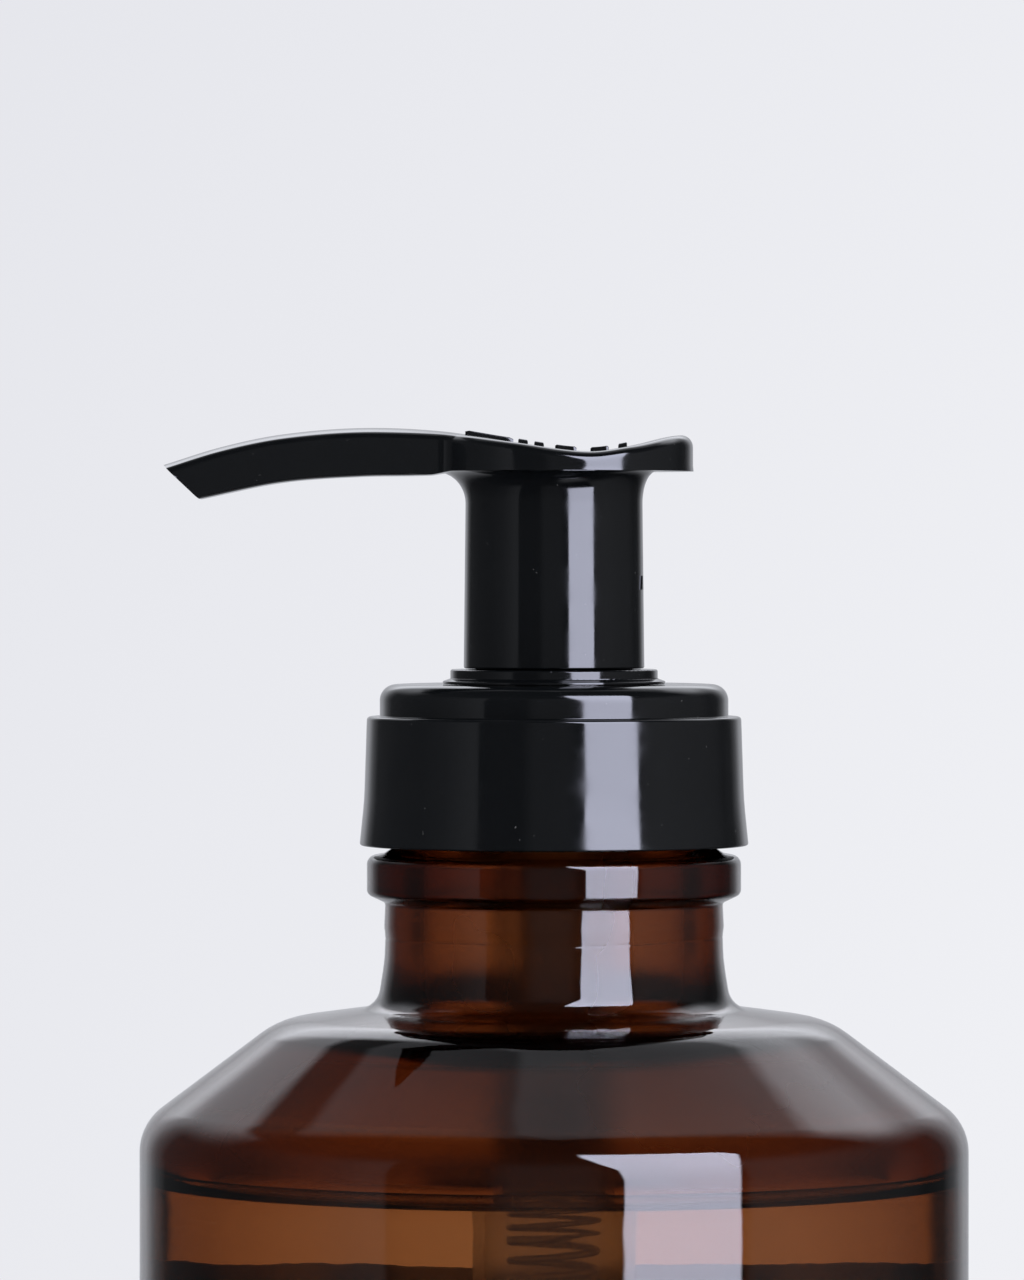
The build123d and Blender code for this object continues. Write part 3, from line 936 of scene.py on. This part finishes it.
def flare(radius, z, angle):
    """The skirt widens into the head: more towards the spout, less towards the rear."""
    if radius > SKIRT_RADIUS - 0.28 and z > FLARE_LOW_Z:
        t = min((z - FLARE_LOW_Z) / (HEAD_LOW_Z - FLARE_LOW_Z), 1)
        reach = 1.3 + 1.6 * ((1 - cos(angle)) / 2) ** 1.5
        radius += reach * (1 - sqrt(1 - t * t * 0.999))
    return radius, z


def sector_data(inner, outer, low, high, middle, width, steps=24):
    """A closed piece of a tube between two heights."""
    rings = []
    for k in range(steps + 1):
        angle = radians(middle - width / 2 + width * k / steps)
        corners = ((inner, low), (outer, low), (outer, high), (inner, high))
        rings.append([(radius * cos(angle), radius * sin(angle), z) for radius, z in corners])
    return swept(rings)


# (middle, length along the head, width across it) of each raised bar
BARS = (
    (-6.05, 4.5, 1.1), (-2.9, 0.9, 3.2), (-1.4, 0.9, 3.2),
    (1.1, 2.0, 1.1), (4.25, 1.7, 1.1), (6.4, 0.8, 3.2),
)


def mark_bar(middle, length, width):
    """A plain raised bar that follows the top of the head, with softened edges."""
    steps = 12
    half = ((0.42, 0.4), (0.47, 0.37), (0.5, 0.3), (0.5, -0.3))
    section = [(-across, up) for across, up in half[::-1]] + [*half]
    rings = []
    for k in range(steps + 1):
        x = middle + (k / steps - 0.5) * length
        inset = 0.12 if k in (0, steps) else 0
        heights = [crest(x) + up - (inset if up > 0 else 0) for _, up in section]
        rings.append([(x, y * (width - inset), z) for (y, _), z in zip(section, heights)])
    return swept(rings)


def skirt_nib():
    """Small raised triangle on the skirt, near its right edge."""
    angle, low, high, half, proud = radians(-14), 187.95, 189.25, 0.5, 0.22
    out, side = Vector((cos(angle), sin(angle), 0)), Vector((-sin(angle), cos(angle), 0))
    face = 8.3
    points = [(half, low), (-half, low), (0, high)]
    back = [out * (face - 0.4) + side * a + Vector((0, 0, z)) for a, z in points]
    top = [out * (face + proud) + side * a * 0.6 + Vector((0, 0, z)) for a, z in points]
    return swept([back, top])


def pump_head_piece():
    """Head, spout, skirt, lock spigot with its lugs, stem socket and raised plain bars."""
    plate = faced_outwards(mesh_object("pump_head_mesh", *head_plate()))
    cut(plate, faced_outwards(mesh_object("knife", *flow_passage())))
    top = HEAD_LOW_Z + 0.5
    skirt = rounded([
        (SPIGOT_BORE, SPIGOT_LOW_Z, 0.2), (SPIGOT_RADIUS, SPIGOT_LOW_Z, 0.35),
        (SPIGOT_RADIUS, SKIRT_LOW_Z, 0.1), (SKIRT_LOW_RADIUS, SKIRT_LOW_Z, 0.18),
        (SKIRT_RADIUS, FLARE_LOW_Z), (SKIRT_RADIUS, HEAD_LOW_Z), (SKIRT_RADIUS, top),
        (SKIRT_BORE, top), (SKIRT_BORE, SKIRT_LOW_Z + 3.0),
    ], True, 6.0, 0.35)
    boss = rounded([
        (BOSS_BORE, BOSS_LOW_Z, 0.2), (BOSS_RADIUS, BOSS_LOW_Z, 0.4),
        (BOSS_RADIUS + 0.1, HEAD_LOW_Z + 0.3), (BOSS_BORE, HEAD_LOW_Z + 0.3),
    ], True)
    parts = [lathe_data(skirt, 160, True, flare), lathe_data(boss, 64), skirt_nib()]
    parts += [mark_bar(middle, length, width) for middle, length, width in BARS]
    for middle in (0, 180):
        parts.append(sector_data(7.0, 7.95, LUG_LOW_Z, LUG_LOW_Z + LUG_HEIGHT, middle, LUG_ARC))
    rest = joined("pump_head_rest", parts)
    with bpy.context.temp_override(active_object=plate, selected_editable_objects=[plate, rest]):
        bpy.ops.object.join()
    plate.data.shade_smooth()
    plate.data.set_sharp_from_angle(angle=radians(38))
    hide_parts("pump_head")
    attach(plate, "head_body")
    return finish_with(plate, black_plastic("black_head", 31))


# ---- pieces inside the bottle and the pump ----
def housing_piece():
    """Pump cylinder of natural plastic with its cup, flange, ball chamber and tube socket."""
    points = rounded([
        (SOCKET_BORE, SOCKET_LOW_Z, 0.1),
        (SOCKET_RADIUS, SOCKET_LOW_Z, 0.3),
        (SOCKET_RADIUS, TUBE_STOP_Z, 0.6),
        (CYLINDER_RADIUS, TUBE_STOP_Z + 3.0, 0.6),
        (CYLINDER_RADIUS, CUP_FLOOR_Z - 6.0, 1.0),
        (CUP_RADIUS, CUP_FLOOR_Z - 2.0, 1.0),
        (CUP_RADIUS, GASKET_HIGH_Z, 0.1),
        (FLANGE_RADIUS, GASKET_HIGH_Z, 0.2),
        (FLANGE_RADIUS, FLANGE_HIGH_Z, 0.2),
        (CUP_BORE, FLANGE_HIGH_Z, 0.15),
        (CUP_BORE, CUP_FLOOR_Z, 0.3),
        (CYLINDER_BORE, CUP_FLOOR_Z, 0.3),
        (CYLINDER_BORE, SPRING_LOW_Z, 0.2),
        (BALL_CHAMBER, SPRING_LOW_Z, 0.15),
        (BALL_CHAMBER, SEAT_LOW_Z + 1.25, 0.1),
        (SEAT_HOLE, SEAT_LOW_Z, 0.05),
        (SEAT_HOLE, TUBE_STOP_Z, 0.05),
        (SOCKET_BORE, TUBE_STOP_Z, 0.05),
    ], True)
    piece = lathe("pump_housing", points, 128)
    piece.data.set_sharp_from_angle(angle=radians(40))
    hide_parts("housing")
    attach(piece, "pump_body")
    plastic = clear_plastic("natural_plastic", (0.93, 0.93, 0.9), 0.88, 0.12)
    return finish_with(piece, plastic)


def dip_tube_piece():
    """Extruded tube with a slanted foot."""
    high = TUBE_STOP_Z - 0.1
    points = [Vector((TUBE_RADIUS, TUBE_LOW_Z + 0.3)), Vector((TUBE_RADIUS, TUBE_LOW_Z + 6))]
    points += [Vector((TUBE_RADIUS, 20 + 8 * k)) for k in range(12)]
    end = [(TUBE_RADIUS, high, 0.05), (TUBE_BORE, high, 0.05)]
    points += rounded([(TUBE_RADIUS, high - 0.1), *end, (TUBE_BORE, high - 0.1)])
    points += [Vector((TUBE_BORE, 108 - 8 * k)) for k in range(12)]
    points.append(Vector((TUBE_BORE, TUBE_LOW_Z + 0.3)))

    def slanted(radius, z, angle):
        if z < TUBE_LOW_Z + 1:
            z = TUBE_LOW_Z + (radius * cos(angle) + TUBE_RADIUS) * tan(radians(40))
        return radius, z

    piece = lathe("suction_tube", points, 64, True, slanted)
    piece.data.set_sharp_from_angle(angle=radians(40))
    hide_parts("dip_tube")
    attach(piece, "pump_body")
    return finish_with(piece, clear_plastic("tube_plastic", (0.92, 0.92, 0.9), 0.85, 0.15))


def spring_piece():
    """Wound wire with closed, ground ends, between the ledge and the valve rod."""
    wire, turns, sides = 0.35, 12, 14
    low, high = SPRING_LOW_Z + wire, SPRING_HIGH_Z - wire
    mean = SPRING_OUTER - wire
    rings = []
    steps = 44 * turns
    for k in range(steps + 1):
        t = k / steps
        angle = TURN * turns * t
        centre = Vector((mean * cos(angle), mean * sin(angle), low + (high - low) * t))
        out = Vector((cos(angle), sin(angle), 0)) * wire
        up = Vector((0, 0, wire))
        ring = [centre + out * cos(TURN * n / sides) + up * sin(TURN * n / sides) for n in range(sides)]
        for spot in ring:
            spot.z = min(max(spot.z, SPRING_LOW_Z), SPRING_HIGH_Z)
        rings.append(ring)
    piece = mesh_object("coil_spring", *swept(rings))
    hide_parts("return_spring")
    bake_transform(piece)
    return finish_with(piece, metal("spring_steel", (0.45, 0.45, 0.45), 0.25))


def stem_piece():
    """Hollow moulded rod between the head and the piston."""
    low, high = node_box("stem")[0].z, node_box("stem")[1].z
    outside = [(STEM_RADIUS, low, 0.2), (STEM_RADIUS, high, 0.3)]
    outline = rounded([(STEM_BORE, low, 0.2), *outside, (STEM_BORE, high, 0.2)], True, 10.0, 6.0)
    piece = lathe("pump_stem", outline, 64)
    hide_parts("stem")
    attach(piece, "head_body")
    return finish_with(piece, clear_plastic("stem_plastic", (0.82, 0.82, 0.8), 0.3, 0.3))


def plain_pieces():
    """Gives the pieces kept from the CAD their materials."""
    for name, made, slot in (
        ("locking_collar", black_plastic("black_collar", 17), "black_collar"),
        ("piston", clear_plastic("piston_plastic", (0.85, 0.86, 0.88), 0.1, 0.4), "piston_plastic"),
        ("piston_rod", clear_plastic("rod_plastic", (0.84, 0.84, 0.82), 0.1, 0.4), "rod_plastic"),
        ("neck_gasket", foam(), "foam_gasket"),
        ("check_ball", metal("ball_steel", (0.7, 0.7, 0.72), 0.1), "ball_steel"),
    ):
        finish_with(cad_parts[name], made)


bottle_piece()
label_piece()
soap_piece()
closure_piece()
pump_head_piece()
housing_piece()
dip_tube_piece()
spring_piece()
stem_piece()
plain_pieces()


# ---- studio, in metres and degrees ----
FLOOR_RADIUS = 1.25
LENS = 231.6
EYE = (-0.00393, -0.770, 0.19165)
LOOK_DOWN = 0.626


def studio_floor():
    """Plain pale floor that fades into the background at its edge."""
    made, tree, surface = material("studio_floor", {"Roughness": 0.7, "Base Color": (0.80, 0.80, 0.82, 1)})
    away = node(tree, "ShaderNodeVectorMath", operation="LENGTH", Vector=object_place(tree))
    solid = ranged(tree, away.outputs["Value"], 0.55, FLOOR_RADIUS - 0.02, 1, 0, True)
    tree.links.new(solid, surface.inputs["Alpha"])
    sides = 96
    angles = [TURN * k / sides for k in range(sides)]
    corners = [(FLOOR_RADIUS * cos(a) / MM, FLOOR_RADIUS * sin(a) / MM, 0) for a in angles]
    floor_piece = mesh_object("studio_floor", corners, [tuple(range(sides))])
    floor_piece.data.materials.append(made)
    floor_piece.visible_glossy = False


def in_degrees(tree, value):
    """An angle in degrees."""
    return product(tree, value, 180 / pi)


def length(tree, *parts):
    """The length of a vector from its parts."""
    return calculated(tree, "SQRT", added(tree, *[product(tree, part, part) for part in parts]))


def beyond(tree, value, limit):
    """How far a value is past a limit."""
    return calculated(tree, "MAXIMUM", calculated(tree, "SUBTRACT", value, limit), 0)


def directions(tree):
    """Azimuth from the camera's side, + to its right, and elevation, both in degrees, then x, y and z."""
    place = node(tree, "ShaderNodeTexCoord").outputs["Generated"]
    split = node(tree, "ShaderNodeSeparateXYZ", Vector=place)
    x, y, z = (split.outputs[axis] for axis in "XYZ")
    azimuth = in_degrees(tree, calculated(tree, "ARCTAN2", x, product(tree, y, -1)))
    return azimuth, in_degrees(tree, calculated(tree, "ARCSINE", z)), x, y, z


def soft_light(tree, x, y, z):
    """A tall soft light whose left edge leans over at its top and whose top right corner is round.

    It is laid out by the slope that a surface facing the camera needs to mirror it, in degrees.
    """
    forwards = calculated(tree, "SUBTRACT", 1, y)
    turn = in_degrees(tree, calculated(tree, "ARCTAN2", x, forwards))
    tilt = in_degrees(tree, calculated(tree, "ARCTAN2", z, length(tree, x, forwards)))
    left = product(tree, curve(tree, tilt, (0, 0.94), (10, 0.86), (16, 0.6), (23.5, 0.36), (28, 0.3)), 10)
    from_left = ranged(tree, calculated(tree, "SUBTRACT", turn, left), -0.3, 0.3, 0, 1, True)
    corner = length(tree, beyond(tree, turn, 22), beyond(tree, tilt, 22.5))
    inside = ranged(tree, corner, 3.75, 4.35, 1, 0, True)
    above = ranged(tree, tilt, -17, -15.5, 0, 1, True)
    return product(tree, from_left, inside, above, ranged(tree, tilt, -5, 15, 8.0, 10.0))


def backdrop(tree, azimuth, height):
    """The bright backdrop behind the object. Its upper part differs to the left, right and between."""
    aside = calculated(tree, "ABSOLUTE", azimuth)
    low = curve(
        tree, aside,
        (137, 0), (145, 0.16), (149, 0.30), (152, 0.44), (157, 0.60), (163, 0.88), (180, 0.9),
    )
    high = curve(tree, aside, (110, 0), (137, 1), (180, 1))
    right = curve(
        tree, height,
        (-30, 0.3), (0, 1), (28, 1.05), (35, 1.7), (47, 1.6), (51, 0.5), (69, 0.46), (72, 0.5), (90, 0.25),
    )
    left = curve(
        tree, height,
        (-30, 0.3), (0, 1), (38, 0.9), (41, 0.05), (49, 0.05), (51, 0.3), (70, 0.25), (90, 0.15),
    )
    middle = curve(
        tree, height,
        (-30, 0.3), (0, 0.6), (9, 0.65), (15, 1.2), (21, 2.2), (44, 2.1), (60, 0.55), (76, 0.5), (90, 0.25),
    )
    rise = pick(tree, ranged(tree, azimuth, -1, 1, 0, 1), left, right)
    rise = pick(tree, ranged(tree, aside, 156, 164, 0, 1, True), rise, middle)
    return product(tree, pick(tree, ranged(tree, height, 18, 40, 0, 1, True), low, high), rise)


def mirrored_studio(tree, azimuth, height, x, y, z):
    """What glossy surfaces mirror: backdrop, soft light, dim side panels, a dark front and floor."""
    left_panel = curve(
        tree, azimuth,
        (-112, 0.02), (-88, 0.035), (-70, 0.08), (-52, 0.2), (-47.6, 0.2), (-46.4, 0.0),
    )
    right_glow = curve(tree, azimuth, (53, 0), (56, 0.22), (69, 0.22), (93, 0.14), (112, 0.07), (125, 0))
    front_glow = product(tree, band(tree, azimuth, -16, 12, 5.0), 0.09)
    glow = added(tree, left_panel, right_glow, front_glow)
    around = product(tree, glow, band(tree, height, -45, 30, 8.0))
    below = product(tree, band(tree, height, -75, -52, 8.0), band(tree, azimuth, 15, 60, 10.0), 0.5)
    fill = curve(tree, height, (-30, 0.02), (-5, 0.055), (30, 0.06), (60, 0.03))
    plain = added(tree, backdrop(tree, azimuth, height), around, below, fill)
    both = node(tree, "ShaderNodeVectorMath", operation="ADD")
    tree.links.new(grey(tree, plain, (0.95, 0.97, 1.04)), both.inputs[0])
    tree.links.new(grey(tree, soft_light(tree, x, y, z), (0.97, 1.0, 1.24)), both.inputs[1])
    return both.outputs["Vector"]


def light_through(tree, azimuth, height):
    """What clear surfaces let through: pale light, dark flags before and behind, grey from above."""
    flags = curve(
        tree, azimuth,
        (-180, 0.86), (-142, 0.86), (-138.5, 0.05), (-133, 0.05), (-132, 0.16), (-129.5, 0.16),
        (-128.5, 0.05), (-116, 0.05), (-108, 0.86), (-72, 0.86), (-64, 0.06), (-50, 0.06), (-43, 0.86),
        (43, 0.86), (50, 0.06), (64, 0.06), (72, 0.86), (108, 0.86), (116, 0.05),
        (128, 0.05), (129, 0.16), (132, 0.16), (133.2, 0.04), (135, 0.04), (138, 0.86), (180, 0.86),
    )
    above = ranged(tree, height, 20, 70, 0, 1, True)
    return pick(tree, above, grey(tree, flags, (1, 1, 1.03)), (0.7, 0.7, 0.72, 1))


def backcloth(tree, x, z):
    """What the camera sees behind the object: pale, and a little lighter towards the lower right."""
    rightwards = calculated(tree, "SUBTRACT", x, product(tree, z, 0.5))
    chooser = ranged(tree, rightwards, -0.09, 0.09, 0, 1)
    return pick(tree, chooser, (0.792, 0.798, 0.842, 1), (0.862, 0.868, 0.904, 1))


def studio_world():
    """A pale room that differs for diffuse, glossy, transmitted and camera rays."""
    world = bpy.data.worlds.new("studio")
    bpy.context.scene.world = world
    world.use_nodes = True
    tree = world.node_tree
    azimuth, height, x, y, z = directions(tree)
    seen = grey(tree, ranged(tree, height, -20, 60, 0.75, 1.15, True), (0.985, 0.985, 1.02))
    path = node(tree, "ShaderNodeLightPath")
    for ray, colour in (
        ("Is Glossy Ray", mirrored_studio(tree, azimuth, height, x, y, z)),
        ("Is Transmission Ray", light_through(tree, azimuth, height)),
        ("Is Camera Ray", backcloth(tree, x, z)),
    ):
        seen = pick(tree, path.outputs[ray], seen, colour)
    tree.links.new(seen, tree.nodes["Background"].inputs["Color"])


def camera():
    """Long lens at the height of the pump's collar, looking along +Y."""
    made = bpy.data.cameras.new("camera")
    made.sensor_width = 36
    made.lens = LENS
    made.clip_end = 100
    eye = bpy.data.objects.new("camera", made)
    eye.location = EYE
    eye.rotation_euler = (radians(90 - LOOK_DOWN), 0, 0)
    bpy.context.scene.collection.objects.link(eye)
    bpy.context.scene.camera = eye


studio_floor()
studio_world()
camera()
render = bpy.context.scene
render.view_settings.view_transform = "Standard"
render.cycles.max_bounces = 24
render.cycles.transmission_bounces = 24
render.cycles.glossy_bounces = 8
render.cycles.diffuse_bounces = 4
render.cycles.transparent_max_bounces = 16
